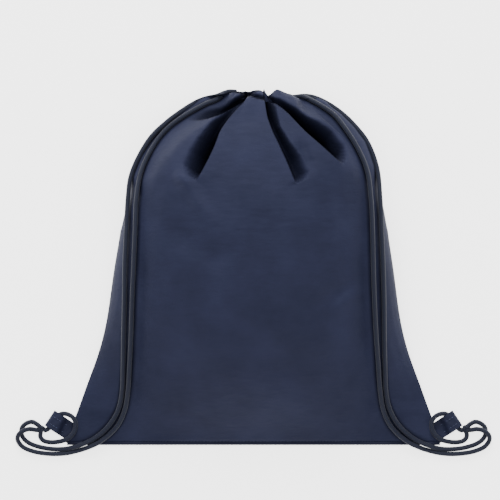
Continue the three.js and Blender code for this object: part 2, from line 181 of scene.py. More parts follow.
OUTER_LOOP = [
    (-168.6, -164.2, 3.4), (-181.4, -164.6, 2.4), (-193.9, -162.5, 2.4), (-202.9, -159, 2.4),
    (-208, -154.6, 2.4), (-209.8, -149.4, 2.4), (-208.9, -144.7, 2.4), (-205.1, -141.3, 2.5),
    (-200.2, -140, 2.8), (-195.5, -142.2, 3.6), (-192.4, -145, 4.2),
]
INNER_LOOP = [
    (-155.4, -165.1, 3), (-169.5, -168.4, 2.4), (-184, -168.9, 2.4), (-199.3, -166.6, 2.4),
    (-208.9, -162.3, 2.4), (-212.9, -156.9, 3.2), (-212.7, -152.4, 6.2), (-209.6, -148.9, 7.8),
    (-204.6, -146.8, 5.6), (-200.6, -146.6, 3.6), (-197.2, -147.2, 3.4), (-193.2, -147.4, 4),
]
RING = [
    (-189.6, -147.6, 3.9), (-187.4, -147.4, 3.7), (-184.5, -145.4, 3.8), (-182.7, -142.3, 3.85),
    (-180.3, -138.9, 3.85), (-177.6, -135.4, 3.9), (-174.3, -133, 4.6), (-170.8, -132.5, 6.2),
    (-167.2, -133.3, 7), (-163.6, -135.5, 7.3), (-161.3, -138.8, 7.3), (-160.6, -142.8, 7.3),
    (-161.4, -147.2, 7.2), (-163.9, -151.6, 6.9), (-169.5, -155.9, 6), (-176.8, -158, 3.6),
    (-184.1, -158.4, 2.5), (-189.8, -156.9, 2.4), (-192.4, -153.9, 2.6), (-192.6, -151, 3),
    (-191.9, -148.6, 3.8),
]
CORD_DIAMETER = 4.2 * MM


def mirrored(points):
    return [(-x, y, z) for x, y, z in points]


# %% Run a smooth curve through the points
def smooth_route(points, step=0.6):
    """The centripetal curve through the points, resampled every step millimetres, in metres."""
    p = np.array(points, float)
    p = np.vstack([2 * p[0] - p[1], p, 2 * p[-1] - p[-2]])
    spots = []
    for i in range(1, len(p) - 2):
        a, b, c, d = p[i - 1:i + 3]
        gaps = [max(np.linalg.norm(q - r) ** 0.5, 1e-4) for q, r in ((a, b), (b, c), (c, d))]
        lead = ((b - a) / gaps[0] - (c - a) / (gaps[0] + gaps[1]) + (c - b) / gaps[1]) * gaps[1]
        tail = ((c - b) / gaps[1] - (d - b) / (gaps[1] + gaps[2]) + (d - c) / gaps[2]) * gaps[1]
        for t in np.linspace(0, 1, 40, endpoint=False):
            spots.append(
                b + lead * t + (-3 * b + 3 * c - 2 * lead - tail) * t ** 2
                + (2 * b - 2 * c + lead + tail) * t ** 3
            )
    spots = np.array(spots + [p[-2]])
    run = np.r_[0, np.cumsum(np.linalg.norm(np.diff(spots, axis=0), axis=1))]
    even = np.linspace(0, run[-1], max(int(run[-1] / step), 8) + 1)
    return np.column_stack([np.interp(even, run, spots[:, k]) for k in range(3)]) * MM


def route_length(route):
    return float(np.linalg.norm(np.diff(route, axis=0), axis=1).sum())


routes = {
    "left_outer": smooth_route(LEFT_OUTER + OUTER_LOOP),
    "left_inner": smooth_route(LEFT_INNER + INNER_LOOP),
    "right_outer": smooth_route(RIGHT_OUTER + mirrored(OUTER_LOOP)),
    "right_inner": smooth_route(RIGHT_INNER + mirrored(INNER_LOOP)),
    "left_ring": smooth_route(RING),
    "right_ring": smooth_route(mirrored(RING)),
}
for name, route in routes.items():
    print(name, "length in mm:", round(route_length(route) * 1000, 1))

# %% [markdown]
# ## Braided cord
#
# The cord is a braid of polyester yarn, about 4 mm across. A braid could be drawn by the material
# alone, but its outline would stay as smooth as a wire. So the tube's own radius rises over each
# yarn and falls between them, and the material paints shade into the same grooves.

# %% Sweep a braided tube
YARNS = 8                  # yarns round the cord in each direction
YARN_PITCH = 2.4 * MM      # length of cord that one yarn takes to pass the next
AROUND = 24


def frames_along(route):
    """Tangent, side and up directions that turn as little as they can along the route."""
    tangent = np.gradient(route, axis=0)
    tangent /= np.linalg.norm(tangent, axis=1)[:, None]
    side = np.zeros_like(tangent)
    first = np.cross(tangent[0], (0, 0, 1.0))
    side[0] = first / np.linalg.norm(first)
    for i in range(1, len(route)):
        carried = side[i - 1] - tangent[i] * side[i - 1].dot(tangent[i])
        side[i] = carried / np.linalg.norm(carried)
    return tangent, side, np.cross(tangent, side)


def braided_tube(name, route, diameter=CORD_DIAMETER, around=AROUND):
    tangent, side, up = frames_along(route)
    length = route_length(route)
    rings = len(route) - 1

    def place(a, b):
        ring = np.rint(b * rings).astype(int)
        turn = 2 * np.pi * a
        along = b * length / YARN_PITCH
        right_hand = np.abs(np.sin(np.pi * (YARNS * a + along)))
        left_hand = np.abs(np.sin(np.pi * (YARNS * a - along)))
        radius = diameter / 2 * (0.93 + 0.07 * np.maximum(right_hand, left_hand))
        radius = radius * np.where((ring == 0) | (ring == rings), 0.55, 1)
        return (
            route[ring]
            + side[ring] * (radius * np.cos(turn))[:, None]
            + up[ring] * (radius * np.sin(turn))[:, None]
        )

    tube = bent_grid(name, around, rings, place, span=(1.0, length), weld=True)
    bm = bmesh.new()
    bm.from_mesh(tube.data)
    ends = [edge for edge in bm.edges if edge.is_boundary]
    bmesh.ops.holes_fill(bm, edges=ends, sides=around + 2)
    bmesh.ops.recalc_face_normals(bm, faces=bm.faces)
    bm.to_mesh(tube.data)
    bm.free()
    return tube


cords = {name: braided_tube(f"{name}_cord", route) for name, route in routes.items()}
for name, cord in cords.items():
    print(cord.name, "faces:", len(cord.data.polygons))

# %% [markdown]
# ## Knots
#
# At each lower corner both straps and the cord's ring meet in one small overhand knot. A ball
# would do from afar, but a knot is a cord going over itself, so the same braided tube follows a
# three-lobed closed path and is pulled tight until it is only as large as the knot's solid.

# %% Tie the knots
KNOT_CORD = 2.9 * MM       # the cord is squeezed thinner in the knot
TREFOIL_REACH = np.array([3.0, 3.0, 1.2])


def knot(name, node):
    low, high = (np.array(corner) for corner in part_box(node))
    centre, half = (low + high) / 2, (high - low) / 2
    t = np.linspace(0, 2 * np.pi, 120)
    lobes = np.column_stack([
        (2 + np.cos(3 * t)) * np.cos(2 * t),
        (2 + np.cos(3 * t)) * np.sin(2 * t),
        1.2 * np.sin(3 * t),
    ])
    path = centre + lobes / TREFOIL_REACH * (half - KNOT_CORD * 0.52)
    return braided_tube(name, path, KNOT_CORD, 18)


knots = {side: knot(f"{side}_tied_knot", f"{side}_knot") for side, _ in SIDES}
for side, piece in knots.items():
    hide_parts(f"{side}_knot")
    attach(piece, f"{side}_corner")

# %% [markdown]
# ## Where each corner folds
#
# The cloth creases across each lower corner, and the tab, the knot and the cords' ends go with
# it. Cloth and cords cross that crease.

# %% The creases
hinges = {joint["name"]: joint for joint in frame["joints"]}
creases = {}
for side, sign in SIDES:
    hinge = hinges[f"{side}_corner_fold"]
    axis = Vector(hinge["axis"]).normalized()
    outward = axis.cross(Vector((0, 0, 1))) * -1
    if outward.x * sign < 0:
        outward.negate()
    middle = Vector(hinge["pos_m"])
    middle.z = 0
    creases[side] = (middle, outward)
    print(side, "crease through", [round(c * 1000, 1) for c in middle], "out", outward[:])


def bend_at_crease(piece):
    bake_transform(piece)


for name in ("left_outer", "left_inner", "right_outer", "right_inner"):
    side = name.split("_")[0]
    strap = cords[name]
    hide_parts(f"{name}_strap", f"{name}_loop")
    bend_at_crease(strap)
    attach(strap, "bag")

for side, _ in SIDES:
    ring = cords[f"{side}_ring"]
    route = routes[f"{side}_ring"]
    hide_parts(f"{side}_cord_ring")
    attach(ring, f"{side}_corner")

# %% [markdown]
# ## The cloth of the bag
#
# Front and back are one closed skin here: a grid that goes once round the bag, welded at the left
# side and along the bottom. Cloth simulation could inflate it, but the folds of a drawn neck fall
# differently each time, and these have known places. So the skin starts on the solids' own
# surface, measured by casting rays at them, and each fold is then pressed in one by one.

# %% Measure the solids
FRONT_NODES = ("front_panel", "left_corner_front", "right_corner_front")
BACK_NODES = ("back_panel", "left_corner_back", "right_corner_back")


def solids_together(names):
    bm = bmesh.new()
    for name in names:
        bm.from_mesh(frame["nodes"][name].data)
    bmesh.ops.remove_doubles(bm, verts=bm.verts, dist=1e-6)
    return bm


front_solid, back_solid = solids_together(FRONT_NODES), solids_together(BACK_NODES)
front_tree = bvhtree.BVHTree.FromBMesh(front_solid)
back_tree = bvhtree.BVHTree.FromBMesh(back_solid)
low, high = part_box("front_panel")
BOTTOM_Y, NECK_Y = low[1] * 1000, high[1] * 1000
LENGTH = NECK_Y - BOTTOM_Y


def side_edges(y):
    """Left and right ends, and the height there, of the front solid's section at y."""
    cut = front_solid.copy()
    parts = cut.verts[:] + cut.edges[:] + cut.faces[:]
    line = bmesh.ops.bisect_plane(
        cut, geom=parts, dist=1e-7, plane_co=(0, y * MM, 0), plane_no=(0, 1, 0),
    )["geom_cut"]
    spots = np.array([v.co for v in line if isinstance(v, bmesh.types.BMVert)]) / MM
    cut.free()
    left, right = spots[:, 0].min(), spots[:, 0].max()
    at_left = spots[spots[:, 0] < left + 0.3, 2].min()
    return left, right, at_left


station_share = 1 - (1 - np.linspace(0.001, 0.999, 61)) ** 1.5
stations = np.array([side_edges(BOTTOM_Y + LENGTH * share) for share in station_share])
print("half widths in mm:", np.round((stations[::10, 1] - stations[::10, 0]) / 2, 1))

# %% Lay the grid on them
FRONT_COLUMNS = 280
BACK_COLUMNS = 140         # the back is smoother: every second column of the front
ROWS = 210
LIP_ROWS = 10              # the last rows curl in at the neck
BODY_ROWS = ROWS - LIP_ROWS


def relaxed(grid, along, across):
    """Evens a grid of heights out, keeping its border."""
    for _ in range(along):
        grid[1:-1] = (grid[:-2] + 2 * grid[1:-1] + grid[2:]) / 4
    for _ in range(across):
        grid[:, 1:-1] = (grid[:, :-2] + 2 * grid[:, 1:-1] + grid[:, 2:]) / 4
    return grid


row_share = np.interp(np.arange(BODY_ROWS + 1) / BODY_ROWS, [0, 0.40, 1], [0, 0.62, 1])
step = np.arange(FRONT_COLUMNS + 1) / FRONT_COLUMNS
across_share = 0.55 * (2 * step - 1) + 0.45 * np.sin((step - 0.5) * np.pi)
left = np.interp(row_share, station_share, stations[:, 0])
right = np.interp(row_share, station_share, stations[:, 1])
edge = np.interp(row_share, station_share, stations[:, 2]) - 0.15
for values in (left, right, edge):
    for _ in range(30):
        values[1:-1] = (values[:-2] + 2 * values[1:-1] + values[2:]) / 4

V, U = np.meshgrid(row_share, across_share, indexing="ij")
X = ((left + right) / 2)[:, None] + ((right - left) / 2)[:, None] * U
Y = BOTTOM_Y + LENGTH * V


def heights(tree, start, direction):
    result = np.zeros_like(X)
    for j in range(X.shape[0]):
        y = min(max(Y[j, 0], BOTTOM_Y + 0.2), NECK_Y - 0.2) * MM
        for i in range(X.shape[1]):
            spot = tree.ray_cast(Vector((X[j, i] * MM, y, start)), Vector((0, 0, direction)))[0]
            result[j, i] = edge[j] if spot is None else spot.z / MM
    result[:, 0] = edge
    result[:, -1] = edge
    return relaxed(result, 24, 6)


front_z = heights(front_tree, 1.0, -1)
back_z = heights(back_tree, -1.0, 1)
front_z[0], back_z[0] = edge[0], edge[0]
print("front up to", round(front_z.max(), 1), "back from", round(back_z.min(), 2))

# %% [markdown]
# ### Folds
#
# A pleat in drawn cloth is not a wave. It has one crisp crest, where the cloth turns under, and a
# deep pocket on one side of that crest only, which then rises gently to the next crest. So each
# pleat is a line with a depth, a width and an amount of painted shade at every point, and a side
# that its pocket lies on. Soft folds are plain ridges and hollows beside it.

# %% Press a pleat into the cloth
def along_line(points, values, count=90):
    """Evenly spaced places on a line, with each list of values spread over them."""
    p = np.array(points, float)
    run = np.r_[0, np.cumsum(np.hypot(*np.diff(p, axis=0).T))]
    even = np.linspace(0, run[-1], count)
    spots = np.column_stack([np.interp(even, run, p[:, 0]), np.interp(even, run, p[:, 1])])
    for _ in range(12):
        spots[1:-1] = (spots[:-2] + 2 * spots[1:-1] + spots[2:]) / 4
    tangent = np.gradient(spots, axis=0)
    tangent /= np.linalg.norm(tangent, axis=1)[:, None]
    return spots, tangent, [np.interp(even, run, v) for v in values]


def nearest_on(spots, x, y):
    flat = np.column_stack([x.ravel(), y.ravel()])
    best = np.zeros(len(flat), int)
    for begin in range(0, len(flat), 8000):
        part = flat[begin:begin + 8000]
        gap = ((part[:, None, :] - spots[None, :, :]) ** 2).sum(axis=2)
        best[begin:begin + 8000] = gap.argmin(axis=1)
    return flat, best


PLEAT_DEPTH = 1.7          # millimetres of fall for each millimetre of depth in the list below
CREST_LIFT = 1.4           # the cloth rises this much towards a crest
DROP_WIDTH = 1.1           # and falls away within this distance past it


def pleat(x, y, points, depth, width, dark, side):
    """Moves of a pleat in X, Y and Z, and each point's painted shade in its pocket, from 0 to 1.

    side is 1 for a pocket on the line's left, -1 on its right.
    """
    spots, tangent, (depths, widths, darks) = along_line(points, (depth, width, dark))
    flat, best = nearest_on(spots, x, y)
    away = flat - spots[best]
    over = side * np.column_stack([-tangent[best, 1], tangent[best, 0]])
    across = (over * away).sum(axis=1)
    past = np.abs((tangent[best] * away).sum(axis=1))
    deep, wide = depths[best], widths[best]
    drop = smooth_step(0, DROP_WIDTH, across)
    rise = 1 - smooth_step(0.15 * wide, 1.1 * wide, across)
    sharp = np.clip(deep / 6, 0, 1)
    crest = CREST_LIFT * np.exp(-(across / 9.0) ** 2) * sharp * (1 - drop)
    shadow = 1 - smooth_step(0.1 * wide, 0.95 * wide, across)
    # Painted shade: the pocket's cloth is darkened in colour, most near the crest.
    painted_pocket_shade = darks[best] * smooth_step(-1.2, 0.2, across) * shadow ** 1.2
    # The crest itself gets a painted highlight, so its value is a little below zero.
    painted_pocket_shade -= 0.28 * darks[best] * np.exp(-((across + 1.6) / 0.9) ** 2)
    # The grid's corners near the crest slide onto it, so that the edge is one clean line.
    slide = -0.85 * across * np.exp(-(across / 1.1) ** 2) * sharp * (past < 2)
    sunk = PLEAT_DEPTH * deep * drop * rise
    moved = np.column_stack([over * slide[:, None], crest - sunk, painted_pocket_shade])
    return moved.reshape(*x.shape, 4)


def soft_fold(x, y, points, height, width):
    """A gentle ridge (height above zero) or valley along a line."""
    spots, _, (rises,) = along_line(points, (height,))
    flat, best = nearest_on(spots, x, y)
    gap = np.linalg.norm(flat - spots[best], axis=1)
    return (rises[best] * np.exp(-(gap / width) ** 2)).reshape(x.shape)


# %% The pleats of this neck
# dark is how much painted shade each pleat's pocket gets.
PLEATS = [
    dict(points=[(-3.2, 160), (-5, 154), (-8.6, 148.2), (-17.6, 138.2), (-24.9, 129.2),
                 (-30.3, 121), (-34.4, 109.3), (-40.7, 95.7), (-47.5, 83.1), (-51.5, 76.7)],
         depth=[5, 6, 7, 9, 11, 13, 16, 16, 11, 0],
         width=[4, 5, 6, 9, 11, 13, 17, 19, 18, 11],
         dark=[0.7, 0.7, 0.6, 0.6, 0.75, 0.9, 1, 1, 0.9, 0], side=-1),
    dict(points=[(-4.1, 152.7), (-9.5, 149.1), (-19.4, 141.8), (-31.2, 135.8), (-42, 132.3),
                 (-49.3, 131.2), (-56.5, 131.7), (-62.2, 134.6)],
         depth=[4, 7, 10, 12, 11, 8, 4, 0], width=[4, 6, 9, 13, 15, 14, 11, 8],
         dark=[0.7, 0.8, 0.85, 0.85, 0.7, 0.5, 0.2, 0], side=-1),
    dict(points=[(7.7, 160), (9, 153.6), (10.4, 146.4), (12.2, 134.6), (16.7, 121.9),
                 (24, 106.6), (29.8, 93.9), (35.7, 79.5), (38, 74)],
         depth=[7, 9, 13, 14, 13, 13, 13, 10, 0],
         width=[6, 8, 9, 9, 8, 10, 14, 15, 10],
         dark=[1, 1, 1, 1, 0.85, 0.75, 0.8, 0.7, 0], side=1),
    dict(points=[(12.7, 148.2), (16.7, 147.1), (21.2, 145.4), (26.7, 141.4), (33, 135.5),
                 (41.1, 126.5), (48.4, 119.2), (60.1, 109.3), (71.9, 98.4), (80, 91.2)],
         depth=[5, 8, 9, 11, 13, 16, 18, 18, 12, 0],
         width=[4, 5, 6, 7, 9, 12, 16, 19, 17, 9],
         dark=[0.9, 0.7, 0.7, 0.9, 1, 1, 1, 1, 0.9, 0], side=1),
    dict(points=[(49.3, 143.6), (60.1, 133.7), (69.2, 125.6), (80, 115.6), (87.2, 105.7)],
         depth=[0, 2, 2.5, 2, 0], width=[10, 12, 13, 12, 10], dark=[0, 0.1, 0.1, 0.1, 0], side=1),
]
SOFT_FOLDS = [
    ([(41.1, 116.5), (43.8, 105.7), (48.4, 93.9), (53.8, 80.4)], [0, -4, -4, 0], 6),
    ([(-72, 84), (-64.6, 78.6), (-48.4, 56), (-33, 36.1)], [0, 3, 3.4, 0], 7),
    ([(-78.2, 45.1), (-57.4, 26.1), (-36.6, 8.9), (-0.5, 18)], [0, -3.4, -3, 0], 12),
    ([(69.2, -41.7), (84.5, -27.2), (99, -14.6)], [0, 2.6, 0], 6),
    ([(51.1, -36.3), (75.5, -24.5), (99, -11.8)], [0, -3, 0], 8),
    ([(-97, 60), (-99, 0), (-101, -60), (-104, -110)], [0, -2.2, -2.4, 0], 5),
    ([(97, 60), (99, 0), (101, -60), (104, -110)], [0, -2.2, -2.4, 0], 5),
    ([(-70.1, 92.1), (-66.4, 81.3), (-60.1, 75.8), (-52, 74.9)], [1, 2.4, 2.4, 1], 5),
    ([(-99.9, -77.8), (-106.2, -111.3), (-111.6, -150.2)], [0, -2.6, -1], 7),
    ([(100.8, -84.2), (107.1, -120.3), (112.5, -150.2)], [0, -2.6, -1], 7),
    ([(-158.7, -127.6), (-138.8, -129.4), (-116.2, -130.3)], [1, 1.6, 0], 5),
    ([(158.7, -127.6), (138.8, -129.4), (116.2, -130.3)], [1, 1.6, 0], 5),
]
# X and Y of the front cloth's own end, over the hem.
TOP_EDGE = [(-22, 156.6), (-17.6, 157.6), (-14, 157.8), (-9.5, 157.2), (-6.8, 157.4), (-4.1, 156.6),
            (-1.4, 158), (2.3, 158.6), (5.9, 158.1), (7.7, 157), (11.3, 156), (13.1, 153.6),
            (15.8, 154.6), (19.4, 157.6), (22.1, 159.4), (27.6, 157.4), (42, 151)]
# X and Y of the cloth's side edges near the neck, where they lie under the outer cords.
LEFT_EDGE = np.array([
    (-112.5, 62), (-111.2, 80.8), (-103.4, 99.3), (-92, 117.1), (-78.7, 129.7), (-66.4, 138.9),
    (-52, 147.6), (-42.9, 150.9), (-34, 152.8), (-18.5, 154.8),
])
RIGHT_EDGE = np.array([
    (113.8, 62), (111.2, 89.4), (102.6, 112), (91.6, 126.3), (79.6, 137.7), (65.5, 147.2),
    (53.8, 151.4), (46, 153.2), (37.5, 154.8),
])


def shoulder(outline, own):
    """How far the edge at each share of the length moves along X to lie on the outline."""
    wanted = np.interp(Y[:, 0], outline[:, 1], outline[:, 0])
    return (wanted - own) * smooth_step(0.70, 0.78, V[:, 0])


to_left = shoulder(LEFT_EDGE, left)[:, None] * ((1 - U) / 2) ** 1.5
to_right = shoulder(RIGHT_EDGE, right)[:, None] * ((1 + U) / 2) ** 1.5
front_x = back_x = X + to_left + to_right
front_y = back_y = Y + 2.5 * smooth_step(0.975, 1, V) * (1 - (1 - np.abs(U)) ** 0.5)
end_x, end_y = front_x[-1], front_y[-1]
brow = np.interp(end_x, *np.array(TOP_EDGE).T) - end_y
front_y = front_y + brow[None, :] * smooth_step(0.93, 1, V) * np.sqrt(np.clip(1 - U ** 2, 0, 1))

folds = np.zeros_like(X)
slide_x, slide_y, open_share = np.zeros_like(X), np.zeros_like(X), np.ones_like(X)
for fold in PLEATS:
    moved = pleat(front_x, front_y, **fold)
    slide_x += moved[..., 0]
    slide_y += moved[..., 1]
    folds += moved[..., 2]
    open_share *= 1 - moved[..., 3]
for points, height, width in SOFT_FOLDS:
    folds += soft_fold(front_x, front_y, points, height, width)
fade = np.clip(1 - U ** 2, 0, 1) ** 0.3 * smooth_step(0, 0.02, V)
front_z = front_z + folds * fade
front_x = front_x + slide_x * fade
front_y = front_y + slide_y * fade
print("deepest fold in mm:", round(-folds.min(), 1))

# %% [markdown]
# ### Unevenness
#
# Thin polyester never lies smooth. It keeps small crinkles from being packed, mostly across the
# bag, and broader hollows where the fill shifts. Both are noise on real sizes, a quarter of a
# millimetre for the crinkles and up to two millimetres for the hollows.

# %% Add crinkles and hollows
def crinkles(x, y, seed):
    result = np.zeros_like(x)
    for j in range(x.shape[0]):
        for i in range(x.shape[1]):
            wide = noise.noise(Vector((x[j, i] / 55, y[j, i] / 42, seed)))
            fine = noise.noise(Vector((x[j, i] / 13, y[j, i] / 4.2, seed + 7)))
            result[j, i] = 1.8 * wide + 0.26 * fine
    return result


front_z = front_z + crinkles(front_x, front_y, 0.0) * fade
lifted = smooth_step(1.5, 12, back_z)
back_z = back_z + crinkles(back_x, back_y, 31.0) * fade * lifted * 0.6

# %% Gather the neck and curl its edge in
NECK_AXIS = (10.0, 35.0)   # X and Z of the line that the mouth is drawn round
PLEATS_ROUND = 26


def gathered(x, z, v, around, amount):
    """Pulls points towards the mouth's axis in the valleys of small irregular pleats."""
    wander = 0.35 * np.sin(2 * np.pi * around * 3 + 1) + 0.2 * np.sin(2 * np.pi * around * 7)
    wave = np.abs(np.sin(np.pi * (PLEATS_ROUND * around + wander))) ** 0.8
    dx, dz = NECK_AXIS[0] - x, NECK_AXIS[1] - z
    reach = np.hypot(dx, dz) + 1e-6
    pull = amount * (1 - wave)
    return x + dx / reach * pull, z + dz / reach * pull


# The front's middle pleats are pressed in already, so the small ones keep off them.
front_turn = 0.5 * step[None, :] + 0 * V
back_turn = 1 - 0.5 * step[None, :] + 0 * V
calm = 1 - smooth_step(-3, 3, X) * (1 - smooth_step(30, 40, X))
ends = back_x[:, [0, -1]]
front_x, front_z = gathered(
    front_x, front_z, V, front_turn, 3.2 * smooth_step(0.93, 1, V) * (0.2 + 0.8 * calm),
)
back_x, back_z = gathered(back_x, back_z, V, back_turn, 5.5 * smooth_step(0.82, 1, V) ** 1.4)
for grid, value in ((front_x, ends), (back_x, ends), (front_y, back_y[:, [0, -1]])):
    grid[:, [0, -1]] = value
for grid in (front_z, back_z):
    grid[:, [0, -1]] = edge[:, None]


def with_lip(x, y, z):
    """Adds the rows that curl round the drawn edge and into the neck."""
    turn = np.linspace(0, np.pi / 2, LIP_ROWS + 1)[1:, None]
    inward = 1 - 0.34 * np.sin(turn)
    lip_x = NECK_AXIS[0] + (x[-1] - NECK_AXIS[0]) * inward
    lip_z = NECK_AXIS[1] + (z[-1] - NECK_AXIS[1]) * inward
    lip_y = y[-1] - 5.5 * (1 - np.cos(turn)) + 0.8 * np.sin(2 * turn)
    return np.vstack([x, lip_x]), np.vstack([y, lip_y]), np.vstack([z, lip_z])


front_grid = np.stack(with_lip(front_x, front_y, front_z), axis=-1)
back_grid = np.stack(with_lip(back_x, back_y, back_z), axis=-1)
back_step = FRONT_COLUMNS // BACK_COLUMNS
skin_grid = np.concatenate([front_grid, back_grid[:, ::-back_step][:, 1:]], axis=1) * MM
# Painted shade of the front's pleat pockets; the lip rows copy the last row.
skin_shade = np.zeros(skin_grid.shape[:2])
skin_shade[:BODY_ROWS + 1, :FRONT_COLUMNS + 1] = 1 - open_share
skin_shade[BODY_ROWS + 1:] = skin_shade[BODY_ROWS]

# %% [markdown]
# ### Cords press into the cloth
#
# A cord pulled over a full bag sinks in a little. At the shoulders the cloth falls away under the
# cords, so its height there is held to a slope that starts below them. Then any point that is
# still inside a cord, or closer than a hair to it, moves away from the cord's middle line.

# %% Make room for the cords
strap_spots = np.concatenate([
    routes[f"{side}_{run}"] for side, _ in SIDES for run in ("outer", "inner")
])
cord_tree = kdtree.KDTree(len(strap_spots))
for i, spot in enumerate(strap_spots):
    cord_tree.insert(spot, i)
cord_tree.balance()
CLEARANCE = CORD_DIAMETER / 2 + 0.25 * MM
SOFTNESS = 3.5             # millimetres over which the slope below a cord meets the cloth
CORD_SINK = 1.2            # the slope starts this far below the cord's middle line
ON_SHOULDER = 420          # steps of the route from the hem to where the front lies flat
shoulder_share = smooth_step(0.70, 0.80, row_share)
for side, sign in SIDES:
    inner = routes[f"{side}_inner"][:ON_SHOULDER] / MM
    spots, tangent, (level,) = along_line(inner[:, :2], (inner[:, 2],), 300)
    near = slice(0, FRONT_COLUMNS // 2) if sign < 0 else slice(FRONT_COLUMNS // 2, None)
    part = skin_grid[:BODY_ROWS + 1, :FRONT_COLUMNS + 1][:, near]
    flat, best = nearest_on(spots, part[..., 0] / MM, part[..., 1] / MM)
    away = flat - spots[best]
    inboard = sign * (tangent[best, 1] * away[:, 0] - tangent[best, 0] * away[:, 1])
    inboard = np.clip(inboard, -12, 40)
    ceiling = level[best] - CORD_SINK + 0.8 * inboard + 0.06 * inboard ** 2 * (inboard > 0)
    ceiling = ceiling.reshape(part.shape[:2])
    height = part[..., 2] / MM
    held = -SOFTNESS * np.logaddexp(-height / SOFTNESS, -ceiling / SOFTNESS)
    from_neck = smooth_step(27, 41, np.abs(part[..., 0] / MM - NECK_AXIS[0]))
    part[..., 2] += (held - height) * MM * shoulder_share[:, None] * from_neck

# The cloth beside each cord gets painted shade, darkest where it touches the cord.
CONTACT_SHADOW = 0.85      # painted shade of the cloth that touches a cord
SHADOW_REACH = 3.2 * MM    # how far from a cord the cloth is still darker
pushed = 0
for j in range(skin_grid.shape[0]):
    for i in range(skin_grid.shape[1]):
        spot = Vector(skin_grid[j, i])
        centre, _, gap = cord_tree.find(spot)
        shadow = CONTACT_SHADOW * max(0, 1 - max(gap - CLEARANCE, 0) / SHADOW_REACH)
        skin_shade[j, i] = max(skin_shade[j, i], shadow)
        if gap >= CLEARANCE:
            continue
        away = spot - centre
        away.z = min(away.z, -0.4 * CLEARANCE)
        skin_grid[j, i] = centre + away.normalized() * CLEARANCE
        pushed += 1
print("points moved clear of cords:", pushed)

# %% Make the skin
SKIN_COLUMNS = skin_grid.shape[1] - 1


def on_skin(values):
    """A function that looks up the grid's values at shares a across and b along."""
    def look_up(a, b):
        return values[np.rint(b * ROWS).astype(int), np.rint(a * SKIN_COLUMNS).astype(int)]
    return look_up


FLAT_CLOTH = (0.68, 0.42)  # both panels side by side, laid flat, in metres
skin = bent_grid(
    "bag_cloth", SKIN_COLUMNS, ROWS, on_skin(skin_grid), span=FLAT_CLOTH, weld=True,
    shade=on_skin(skin_shade),
)
print("skin faces:", len(skin.data.polygons))

# %% [markdown]
# ### Cut the corners free
#
# A piece can bend between two bodies only, and this skin meets both corners. So each corner is cut
# off along a line inboard of its crease. The cut edges stay together in every pose, and the whole
# skin's normals are kept so that no line shows.

# %% Cut the corners
CUT_INBOARD = 16 * MM


def part_of(source, name, keep):
    """A copy of source with only the faces that keep(centre) accepts, and source's normals."""
    bm = bmesh.new()
    bm.from_mesh(source.data)
    normal = bm.verts.layers.float_vector.get("whole_normal")
    if normal is None:
        normal = bm.verts.layers.float_vector.new("whole_normal")
        bm.normal_update()
        for vert in bm.verts:
            vert[normal] = vert.normal
    for middle, outward in creases.values():
        parts = bm.verts[:] + bm.edges[:] + bm.faces[:]
        bmesh.ops.bisect_plane(
            bm, geom=parts, dist=1e-7, plane_co=middle - outward * CUT_INBOARD,
            plane_no=outward,
        )
    others = [face for face in bm.faces if not keep(face.calc_center_median())]
    bmesh.ops.delete(bm, geom=others, context="FACES")
    normals = [vert[normal].normalized() for vert in bm.verts]
    bm.verts.layers.float_vector.remove(normal)
    piece = finished(name, bm)
    piece.data.normals_split_custom_set_from_vertices(normals)
    return piece


def beyond(side):
    middle, outward = creases[side]
    return lambda centre: (centre - middle).dot(outward) > -CUT_INBOARD


def inboard(centre):
    return not beyond("left")(centre) and not beyond("right")(centre)


body_cloth = part_of(skin, "bag_front_and_back_cloth", inboard)
corner_cloth = {
    side: part_of(skin, f"{side}_corner_cloth", beyond(side)) for side, _ in SIDES
}
bpy.data.objects.remove(skin)
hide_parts("front_panel", "back_panel")
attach(body_cloth, "bag")
for side, piece in corner_cloth.items():
    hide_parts(f"{side}_corner_front", f"{side}_corner_back")
    bend_at_crease(piece)
    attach(piece, "bag")
print("body faces:", len(body_cloth.data.polygons))

# %% [markdown]
# ## The gathered hem
#
# The hem is a tube of cloth with the cords inside. Drawn shut, it becomes a ring of small deep
# pleats round a finger-wide hole, with the turned edge standing out as a frill. The grid runs
# from inside the mouth, over the end, to the ring's outside, and its pleats are sharp in the
# valleys and round on the ridges. Its upper half is lower, because the front cloth hangs over it.

# %% Gather the hem
HEM_PLEATS = 22
HEM_ACROSS, HEM_BELOW, HEM_ABOVE = 27.8, 22.0, 15.5  # the ring's reach from the mouth's axis
# How far the frill's turned edge stands out along Y, at each X across the drawn neck.
FRILL_EDGE = np.array([
    (-18, 156.6), (-15.5, 158.0), (-13.6, 158.8), (-11.4, 157.0), (-9.3, 157.8), (-7, 158.9),
    (-4.6, 156.6), (-1, 157.2), (4, 157.6), (7.4, 156.8), (9.4, 160.4), (11.2, 157.6),
    (13.1, 154.4), (15.8, 155.6), (19.2, 158.2), (22.0, 160.2), (24.5, 159.0), (28, 157.4),
    (33, 156), (38, 154.6),
])
MOUTH_RADIUS = 6.0
# Share along the profile, radius share from the mouth to the rim, and distance from the end.
HEM_PROFILE = np.array([
    (0.00, -0.05, 13.0), (0.12, 0.00, 6.0), (0.22, 0.05, 2.6), (0.34, 0.22, 1.4),
    (0.50, 0.50, 1.0), (0.64, 0.78, 0.7), (0.74, 0.94, 0.6), (0.82, 1.00, 2.0),
    (0.90, 0.98, 6.0), (1.00, 0.88, 12.5),
])


